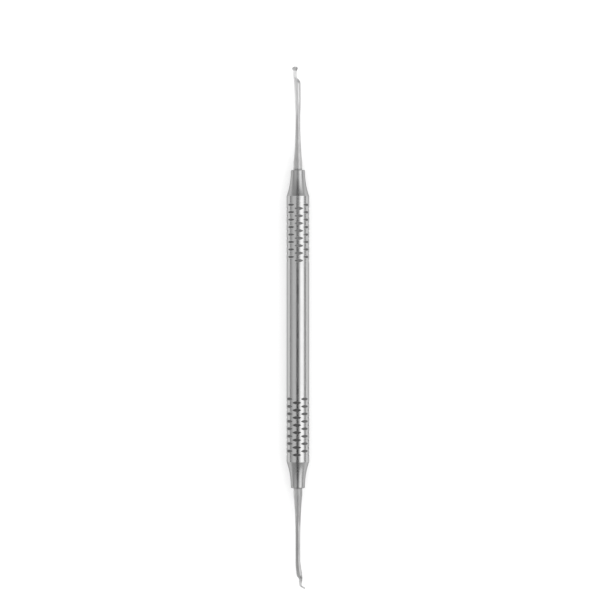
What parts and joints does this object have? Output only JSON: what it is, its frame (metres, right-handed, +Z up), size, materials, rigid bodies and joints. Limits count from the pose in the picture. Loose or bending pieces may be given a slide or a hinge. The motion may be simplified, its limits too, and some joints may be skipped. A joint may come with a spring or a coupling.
{
  "type": "dental chisel",
  "caption": "Double-ended hand chisel with a round hollow grip, staggered cross cuts, and a slim shank with a small rounded foot at each end.",
  "frame": {"origin": "on the surface that the instrument lies on, under the middle of the handle", "axes": "+Y along the handle towards the working end whose foot turns up, +Z up, +X the side that the other foot turns to"},
  "size_m": [0.008, 0.1848, 0.008],
  "materials": {
    "handle_steel": "satin",
    "tip_steel": "polished"
  },
  "bodies": {
    "root": {"handle": "handle_steel", "upper_working_end": "tip_steel", "lower_working_end": "tip_steel"}
  },
  "joints": []
}
